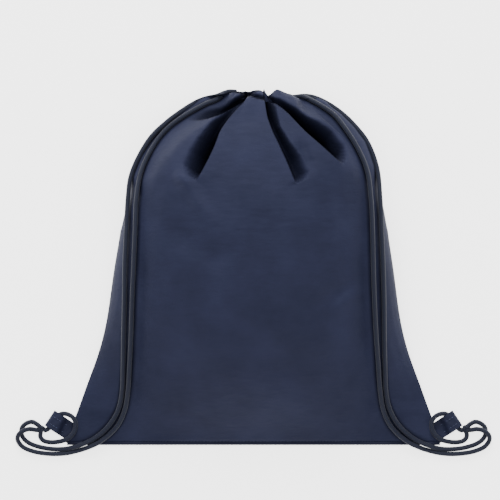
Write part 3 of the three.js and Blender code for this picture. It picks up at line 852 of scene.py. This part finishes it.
def place_hem(a, b):
    turn = 2 * np.pi * a
    share = np.interp(b, HEM_PROFILE[:, 0], HEM_PROFILE[:, 1])
    behind = np.interp(b, HEM_PROFILE[:, 0], HEM_PROFILE[:, 2])
    wander = 0.5 * np.sin(turn * 2 + 0.6) + 0.35 * np.sin(turn * 5 + 2) + 0.15 * np.sin(turn * 9)
    wave = np.abs(np.sin(0.5 * HEM_PLEATS * turn + wander))
    ridge = wave ** 0.55
    frill = smooth_step(0.1, 0.9, share)
    rise = np.where(np.sin(turn) > 0, HEM_ABOVE, HEM_BELOW)
    rx = MOUTH_RADIUS + (HEM_ACROSS - MOUTH_RADIUS) * share
    rz = MOUTH_RADIUS + (rise - MOUTH_RADIUS) * share
    shrink = 1 - (1 - ridge) * (0.06 + 0.15 * frill)
    lean = 0.05 * np.sin(0.5 * HEM_PLEATS * turn * 2 + wander) * frill
    x = NECK_AXIS[0] + rx * shrink * np.cos(turn + lean)
    z = NECK_AXIS[1] + rz * shrink * np.sin(turn + lean)
    dip = (1 - ridge) * (2.0 + 4.5 * frill) * smooth_step(0, 0.3, b)
    end = np.interp(x, FRILL_EDGE[:, 0], FRILL_EDGE[:, 1]) - 0.8 * (np.sin(turn) < 0)
    y = end - behind - dip * (1 - smooth_step(0.80, 1.0, b)) * 0.6
    return np.column_stack([x, y, z]) * MM


hem = bent_grid("gathered_hem", 352, 44, place_hem, span=(0.68, 0.05), weld=True)
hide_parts("front_hem_casing", "back_hem_casing", "left_cord_in_hem", "right_cord_in_hem")
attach(hem, "bag")
print("hem faces:", len(hem.data.polygons))

# %% [markdown]
# ## Tabs
#
# Each tab is a strip of the same cloth, doubled, folded round the cord and caught in the side
# seam. Two rows of stitches run along it. It could stay a bent box, but a strip with thickness
# keeps the open tunnel at the fold that the cord runs through.

# %% Fold the tabs
TAB_WIDTH, TAB_LENGTH, TAB_CLOTH = 16.2, 22.0, 1.1
STRIP_LENGTH = 45.0        # the tab's strip before it is folded
TAB_TUNNEL_LENGTH, TAB_TUNNEL_HEIGHT = 14.0, 5.2
TAB_ANGLE = math.radians(33.8)
TAB_ROOT_Y = 10.5
TAB_IN_SEAM = 4.0          # length of the strip that the side seam catches
GAP = 0.3


def bag_edge(y_from_seam):
    return float(np.interp(y_from_seam / LENGTH, row_share, right))


def folded_strip():
    """Middle line of the strip from the side: distance from the bag's edge and height."""
    low = GAP + TAB_CLOTH / 2
    layer = TAB_CLOTH + GAP
    open_ = TAB_TUNNEL_HEIGHT + TAB_CLOTH
    fold = TAB_LENGTH - TAB_CLOTH / 2
    corners = [
        (0, low), (fold * 0.3, low), (fold * 0.6, low), (fold - 2.4, low),
        (fold, low + open_ / 2), (fold - 2.4, low + open_),
        (fold - TAB_TUNNEL_LENGTH + 4, low + open_), (fold - TAB_TUNNEL_LENGTH, low + layer),
        (0, low + layer),
    ]
    return smooth_route([(l, 0, z) for l, z in corners], 0.5) / MM


TAB_SLOPE = (bag_edge(TAB_ROOT_Y + 8) - bag_edge(TAB_ROOT_Y - 8)) / 16
OUT = np.array([math.cos(TAB_ANGLE), math.sin(TAB_ANGLE)])
ACROSS = np.array([-OUT[1], OUT[0]])
TAB_SKEW = (ACROSS[1] * TAB_SLOPE - ACROSS[0]) / (OUT[0] - TAB_SLOPE * OUT[1])
TAB_START = bag_edge(TAB_ROOT_Y) + 2 * GAP


def on_tab(sign, along, across, height):
    """A point of the tab: along from the bag's edge, across its width, and height."""
    root = TAB_SKEW * across
    reach = root + along * (TAB_LENGTH - root) / TAB_LENGTH
    x = sign * (TAB_START + OUT[0] * reach + ACROSS[0] * across)
    y = BOTTOM_Y + TAB_ROOT_Y + OUT[1] * reach + ACROSS[1] * across
    return np.column_stack([x, y, height]) * MM


def tab(name, sign):
    strip = folded_strip()
    steps = len(strip) - 1

    def place(a, b):
        spot = strip[np.rint(b * steps).astype(int)]
        across = TAB_WIDTH * (a - 0.5)
        ripple = 0.12 * np.sin(spot[:, 0] * 1.1 + across * 0.7)
        along = spot[:, 0] - TAB_IN_SEAM * (1 - spot[:, 0] / TAB_LENGTH) ** 2
        return on_tab(sign, along, across, spot[:, 2] + ripple)

    piece = bent_grid(name, 26, steps, place, span=(TAB_WIDTH * MM, STRIP_LENGTH * MM))
    bm = bmesh.new()
    bm.from_mesh(piece.data)
    bmesh.ops.recalc_face_normals(bm, faces=bm.faces)
    bmesh.ops.solidify(bm, geom=bm.faces[:], thickness=TAB_CLOTH * MM)
    bmesh.ops.recalc_face_normals(bm, faces=bm.faces)
    bm.to_mesh(piece.data)
    bm.free()
    return piece


tabs = {side: tab(f"{side}_folded_tab", sign) for side, sign in SIDES}
for side, piece in tabs.items():
    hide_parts(f"{side}_tab")
    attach(piece, f"{side}_corner")
    low, high = (np.array(c) * 1000 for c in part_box(f"{side}_tab"))
    print(side, "tab solid from", np.round(low, 1), "to", np.round(high, 1))

# %% [markdown]
# ## Stitches
#
# A stitch is a short length of thread that dips into the cloth at both ends. Each is a stretched
# ball of a few dozen faces, so its ends taper into the cloth. Two rows of them hold each tab.

# %% Lay rows of stitches
def stitches(name, starts, ends, thickness):
    """One piece with a stitch from each start to each end, in metres."""
    bm = bmesh.new()
    for start, end in zip(starts, ends):
        start, end = Vector(start), Vector(end)
        made = bmesh.ops.create_icosphere(bm, subdivisions=1, radius=1.0)["verts"]
        run = end - start
        turn = run.to_track_quat("X", "Z").to_matrix().to_4x4()
        bmesh.ops.scale(bm, vec=(run.length / 2, thickness / 2, thickness / 2), verts=made)
        bmesh.ops.transform(bm, matrix=turn, verts=made)
        bmesh.ops.translate(bm, vec=(start + end) / 2, verts=made)
    for face in bm.faces:
        face.smooth = True
    return finished(name, bm)


STITCH, STITCH_PITCH = 2.3, 3.0
STITCHES = 5               # stitches in a row
FOLD_MARGIN = 3.4          # from the fold to the first stitch
threads = {}
for side, sign in SIDES:
    starts, ends = [], []
    strip = folded_strip()
    upper = strip[len(strip) // 2:][::-1]
    for across in (0.19 * TAB_WIDTH, -0.24 * TAB_WIDTH):
        for k in range(STITCHES):
            first = TAB_LENGTH - FOLD_MARGIN - STITCH_PITCH * k
            last = first - STITCH
            rise = [np.interp(l, upper[:, 0], upper[:, 2]) + TAB_CLOTH / 2 + 0.05
                    for l in (first, last)]
            starts.append(on_tab(sign, first, across, rise[0])[0])
            ends.append(on_tab(sign, last, across, rise[1])[0])
    threads[side] = stitches(f"{side}_tab_stitches", starts, ends, 0.45 * MM)
    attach(threads[side], f"{side}_corner")

# %% [markdown]
# ## Bottom seam
#
# Both panels are joined along the bottom with a narrow overlocked seam. It is drawn as a rolled
# edge of cloth, flat on the table, without the thread that goes over it. The seam crosses both
# creases, so it is made in three lengths like its solids.

# %% Roll the seam
SEAM_OVERLAP = 1.2         # millimetres that the rolled edge reaches over the panels


def seam_piece(name, node):
    low, high = (np.array(corner) * 1000 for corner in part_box(node))
    middle_y, middle_z = (low[1] + high[1]) / 2, (low[2] + high[2]) / 2
    half_y, half_z = (high[1] - low[1]) / 2, (high[2] - low[2]) / 2

    def place(a, b):
        turn = 2 * np.pi * a
        along = low[0] + (high[0] - low[0]) * b
        wave = 1 + 0.06 * np.sin(along * 2.3) * np.sin(along * 0.7)
        y = middle_y + SEAM_OVERLAP / 2 + (half_y + SEAM_OVERLAP / 2) * wave * np.cos(turn)
        z = middle_z + half_z * np.sin(turn) * (0.94 + 0.06 * np.cos(2 * turn))
        return np.column_stack([along, y, z]) * MM

    steps = max(int((high[0] - low[0]) / 1.2), 8)
    tube = bent_grid(name, 14, steps, place, span=(0.01, (high[0] - low[0]) * MM), weld=True)
    bm = bmesh.new()
    bm.from_mesh(tube.data)
    bmesh.ops.holes_fill(bm, edges=[e for e in bm.edges if e.is_boundary], sides=16)
    bmesh.ops.recalc_face_normals(bm, faces=bm.faces)
    bm.to_mesh(tube.data)
    bm.free()
    return tube


seams = {
    "bottom_seam": seam_piece("bottom_rolled_seam", "bottom_seam"),
    "left_corner_seam": seam_piece("left_corner_rolled_seam", "left_corner_seam"),
    "right_corner_seam": seam_piece("right_corner_rolled_seam", "right_corner_seam"),
}
for node, piece in seams.items():
    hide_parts(node)
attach(seams["bottom_seam"], "bag")
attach(seams["left_corner_seam"], "left_corner")
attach(seams["right_corner_seam"], "right_corner")

# %% [markdown]
# ## Materials
#
# Everything is polyester: plain-woven cloth, braided cord and spun thread. Each colour is written
# as an sRGB value and turned to linear once; most are the colours a maker would pick, and the
# braid's groove colour and the darker tab and seam cloth are painted shade. One small function
# adds a node, sets it and links it.

# %% Colour and node helpers
def colour(hex_value):
    """An sRGB hex value as a linear colour."""
    parts = [int(hex_value[i:i + 2], 16) / 255 for i in (1, 3, 5)]
    linear = [p / 12.92 if p <= 0.04045 else ((p + 0.055) / 1.055) ** 2.4 for p in parts]
    return (*linear, 1.0)


def add_node(tree, kind, inputs=None, **settings):
    """Adds a node, sets its properties, and sets or links its inputs."""
    made = tree.nodes.new(kind)
    for name, value in settings.items():
        setattr(made, name, value)
    for name, value in (inputs or {}).items():
        if isinstance(value, bpy.types.NodeSocket):
            tree.links.new(value, made.inputs[name])
        else:
            made.inputs[name].default_value = value
    return made


def blank_material(name):
    material = bpy.data.materials.new(name)
    material.use_nodes = True
    material.node_tree.nodes.clear()
    return material, material.node_tree


def band_scale(pitch):
    """Scale of a wave texture whose bands are pitch metres apart."""
    return 2 * math.pi / 20 / pitch


# %% [markdown]
# ### Woven polyester
#
# The panels are a light plain weave of filament yarn with a dull shine. The real threads are
# about 0.25 mm apart, too fine to show, so they are drawn at 0.6 mm. Crinkles run mostly across
# the bag, at 3 to 10 mm. Colour varies a little where the cloth has been handled. Shade is painted
# into the cloth from the skin's own values: dark at the bottom of a pocket and beside the cords,
# with the shine dimmed there too.

# %% Weave the cloth
WEAVE_PITCH = 0.6 * MM
OPEN_SHINE = 0.1           # specular level of cloth in the open


def woven_polyester(name, deep, pale, roughness, crinkle_depth):
    material, tree = blank_material(name)
    spot = add_node(tree, "ShaderNodeTexCoord").outputs["Object"]
    warp, weft = (
        add_node(tree, "ShaderNodeTexWave", {
            "Vector": spot, "Scale": band_scale(WEAVE_PITCH), "Distortion": 0.6, "Detail": 1.0,
            "Detail Scale": 2.0,
        }, bands_direction=direction)
        for direction in ("X", "Y")
    )
    weave = add_node(tree, "ShaderNodeMath", {
        0: warp.outputs["Fac"], 1: weft.outputs["Fac"],
    }, operation="MULTIPLY")
    stretched = add_node(tree, "ShaderNodeMapping", {
        "Vector": spot, "Scale": (1 / 0.010, 1 / 0.0034, 1 / 0.010),
    })
    crinkle = add_node(tree, "ShaderNodeTexNoise", {
        "Vector": stretched.outputs["Vector"], "Scale": 1.0, "Detail": 4.0, "Roughness": 0.55,
        "Distortion": 0.4,
    })
    handled = add_node(tree, "ShaderNodeTexNoise", {
        "Vector": spot, "Scale": 1 / 0.045, "Detail": 3.0, "Roughness": 0.6,
    })
    patch = add_node(tree, "ShaderNodeMapRange", {
        "Value": handled.outputs["Fac"], "From Min": 0.3, "From Max": 0.7,
    })
    tone = add_node(tree, "ShaderNodeMix", {
        "Factor": patch.outputs["Result"], 6: colour(deep), 7: colour(pale),
    }, data_type="RGBA")
    shaded = add_node(tree, "ShaderNodeMapRange", {
        "Value": weave.outputs["Value"], "To Min": 0.86, "To Max": 1.06,
    })
    # Painted shade: the skin's values darken the cloth's colour in pockets and beside cords, and dim its
    # shine there.
    painted_shade = add_node(tree, "ShaderNodeAttribute", attribute_name="painted_shade")
    lit_share = add_node(tree, "ShaderNodeMapRange", {
        "Value": painted_shade.outputs["Fac"], "From Min": -0.3, "To Min": 1.4, "To Max": 0.04,
    })
    dimmed = add_node(tree, "ShaderNodeMath", {
        0: shaded.outputs["Result"], 1: lit_share.outputs["Result"],
    }, operation="MULTIPLY")
    tone_with_painted_shade = add_node(tree, "ShaderNodeVectorMath", {
        0: tone.outputs[2], "Scale": dimmed.outputs["Value"],
    }, operation="SCALE")
    shine = add_node(tree, "ShaderNodeMath", {
        0: lit_share.outputs["Result"], 1: OPEN_SHINE,
    }, operation="MULTIPLY")
    crinkled = add_node(tree, "ShaderNodeBump", {
        "Strength": 1.0, "Distance": crinkle_depth, "Height": crinkle.outputs["Fac"],
    })
    woven = add_node(tree, "ShaderNodeBump", {
        "Strength": 0.5, "Distance": 0.06 * MM, "Height": weave.outputs["Value"],
        "Normal": crinkled.outputs["Normal"],
    })
    shader = add_node(tree, "ShaderNodeBsdfPrincipled", {
        "Base Color": tone_with_painted_shade.outputs["Vector"], "Roughness": roughness, "IOR": 1.5,
        "Specular IOR Level": shine.outputs["Value"], "Normal": woven.outputs["Normal"],
    })
    add_node(tree, "ShaderNodeOutputMaterial", {"Surface": shader.outputs["BSDF"]})
    return material


panel_cloth = woven_polyester("plain_woven_polyester", "#1b1e31", "#22253a", 0.72, 0.42 * MM)
hem_cloth = woven_polyester("gathered_woven_polyester", "#1b1e31", "#23263b", 0.72, 0.2 * MM)
# The tab and seam copies are darker than the panels' cloth: painted shade for the low corners and the
# bottom edge.
tab_cloth = woven_polyester("folded_woven_polyester", "#181b2c", "#1e2135", 0.68, 0.1 * MM)
seam_cloth = woven_polyester("overlocked_polyester", "#141728", "#1a1d2f", 0.7, 0.1 * MM)

# %% [markdown]
# ### Braided cord and thread
#
# The braid's yarns are the ones that its radius already rises over. The material works from the
# piece's UV map, which has shares of a turn across and metres along, so its painted shade falls
# into the same grooves. Thread is drawn with a fine twist.

# %% Braid the cord
def braided_polyester(name, painted_groove_shade, yarn):
    material, tree = blank_material(name)
    place = add_node(tree, "ShaderNodeUVMap", uv_map="UVMap").outputs["UV"]
    parts = add_node(tree, "ShaderNodeSeparateXYZ", {"Vector": place})
    around = add_node(tree, "ShaderNodeMath", {
        0: parts.outputs["X"], 1: math.pi * YARNS,
    }, operation="MULTIPLY")
    along = add_node(tree, "ShaderNodeMath", {
        0: parts.outputs["Y"], 1: math.pi / YARN_PITCH,
    }, operation="MULTIPLY")
    crossings = []
    for operation in ("ADD", "SUBTRACT"):
        phase = add_node(tree, "ShaderNodeMath", {
            0: around.outputs["Value"], 1: along.outputs["Value"],
        }, operation=operation)
        wave = add_node(tree, "ShaderNodeMath", {0: phase.outputs["Value"]}, operation="SINE")
        crossings.append(add_node(
            tree, "ShaderNodeMath", {0: wave.outputs["Value"]}, operation="ABSOLUTE",
        ))
    relief = add_node(tree, "ShaderNodeMath", {
        0: crossings[0].outputs["Value"], 1: crossings[1].outputs["Value"],
    }, operation="MAXIMUM")
    depth = add_node(tree, "ShaderNodeMapRange", {
        "Value": relief.outputs["Value"], "From Min": 0.55, "From Max": 1.0,
    })
    # Painted shade: the grooves between yarns take the darker colour.
    tone = add_node(tree, "ShaderNodeMix", {
        "Factor": depth.outputs["Result"], 6: colour(painted_groove_shade), 7: colour(yarn),
    }, data_type="RGBA")
    bump = add_node(tree, "ShaderNodeBump", {
        "Strength": 0.6, "Distance": 0.2 * MM, "Height": relief.outputs["Value"],
    })
    shader = add_node(tree, "ShaderNodeBsdfPrincipled", {
        "Base Color": tone.outputs[2], "Roughness": 0.7, "Specular IOR Level": 0.2,
        "Sheen Weight": 0.08, "Sheen Roughness": 0.5, "Normal": bump.outputs["Normal"],
    })
    add_node(tree, "ShaderNodeOutputMaterial", {"Surface": shader.outputs["BSDF"]})
    return material


def spun_thread(name, hex_value):
    material, tree = blank_material(name)
    spot = add_node(tree, "ShaderNodeTexCoord").outputs["Object"]
    twist = add_node(tree, "ShaderNodeTexWave", {
        "Vector": spot, "Scale": band_scale(0.3 * MM),
    }, bands_direction="DIAGONAL")
    tone = add_node(tree, "ShaderNodeMix", {
        "Factor": twist.outputs["Fac"], 6: colour("#1b2136"), 7: colour(hex_value),
    }, data_type="RGBA")
    shader = add_node(tree, "ShaderNodeBsdfPrincipled", {
        "Base Color": tone.outputs[2], "Roughness": 0.6,
    })
    add_node(tree, "ShaderNodeOutputMaterial", {"Surface": shader.outputs["BSDF"]})
    return material


# The first colour is painted shade for the grooves, the second is the yarn's own colour.
cord_braid = braided_polyester("braided_polyester_cord", "#05070f", "#171c2e")
thread = spun_thread("spun_polyester_thread", "#4a5374")

# %% Give every piece its material
def dress(piece, material):
    piece.data.materials.clear()
    piece.data.materials.append(material)


dress(body_cloth, panel_cloth)
for piece in corner_cloth.values():
    dress(piece, panel_cloth)
dress(hem, hem_cloth)
for piece in tabs.values():
    dress(piece, tab_cloth)
for piece in seams.values():
    dress(piece, seam_cloth)
for piece in threads.values():
    dress(piece, thread)
for piece in list(cords.values()) + list(knots.values()):
    dress(piece, cord_braid)
for node in ("left_side_seam", "right_side_seam"):
    for place in frame["nodes"][node].material_slots:
        place.material = seam_cloth

# %% [markdown]
# ## Floor and light
#
# The bag lies on a plain pale floor under soft studio light. One large light stands beyond the
# neck, so the upper slopes are pale and the folds below them dark. Another hangs overhead, and a
# white surround fills in. The paper glows a little, as a lit studio sweep does.

# %% Set the floor and the lights
FLOOR_HALF = 6.0           # metres
FLOOR_DROP = 0.2 * MM      # so that no cloth lies in the floor's own plane
bm = bmesh.new()
bmesh.ops.create_grid(bm, x_segments=1, y_segments=1, size=FLOOR_HALF)
floor = finished("floor", bm)
floor.data.transform(Matrix.Translation((0, 0, -FLOOR_DROP)))
floor_paint, floor_tree = blank_material("matt_white_paper")
paper = add_node(floor_tree, "ShaderNodeBsdfPrincipled", {
    "Base Color": colour("#fbfbfb"), "Roughness": 0.9, "Emission Color": colour("#ffffff"),
    "Emission Strength": 2.2,
})
add_node(floor_tree, "ShaderNodeOutputMaterial", {"Surface": paper.outputs["BSDF"]})
floor.data.materials.append(floor_paint)


def area_light(name, place, target, size, power):
    data = bpy.data.lights.new(name, "AREA")
    data.shape = "DISK"
    data.size = size
    data.energy = power
    lamp = bpy.data.objects.new(name, data)
    lamp.location = place
    aim = Vector(target) - Vector(place)
    lamp.rotation_euler = aim.to_track_quat("-Z", "Y").to_euler()
    bpy.context.scene.collection.objects.link(lamp)


area_light("key_beyond_the_neck", (-0.2, 2.0, 1.35), (0, 0, 0.03), 1.2, 62)
area_light("overhead", (0.0, 0.1, 2.6), (0, 0, 0), 1.6, 44)

world = bpy.data.worlds.new("white_surround")
world.use_nodes = True
world.node_tree.nodes["Background"].inputs["Color"].default_value = (1, 1, 1, 1)
world.node_tree.nodes["Background"].inputs["Strength"].default_value = 0.9
bpy.context.scene.world = world
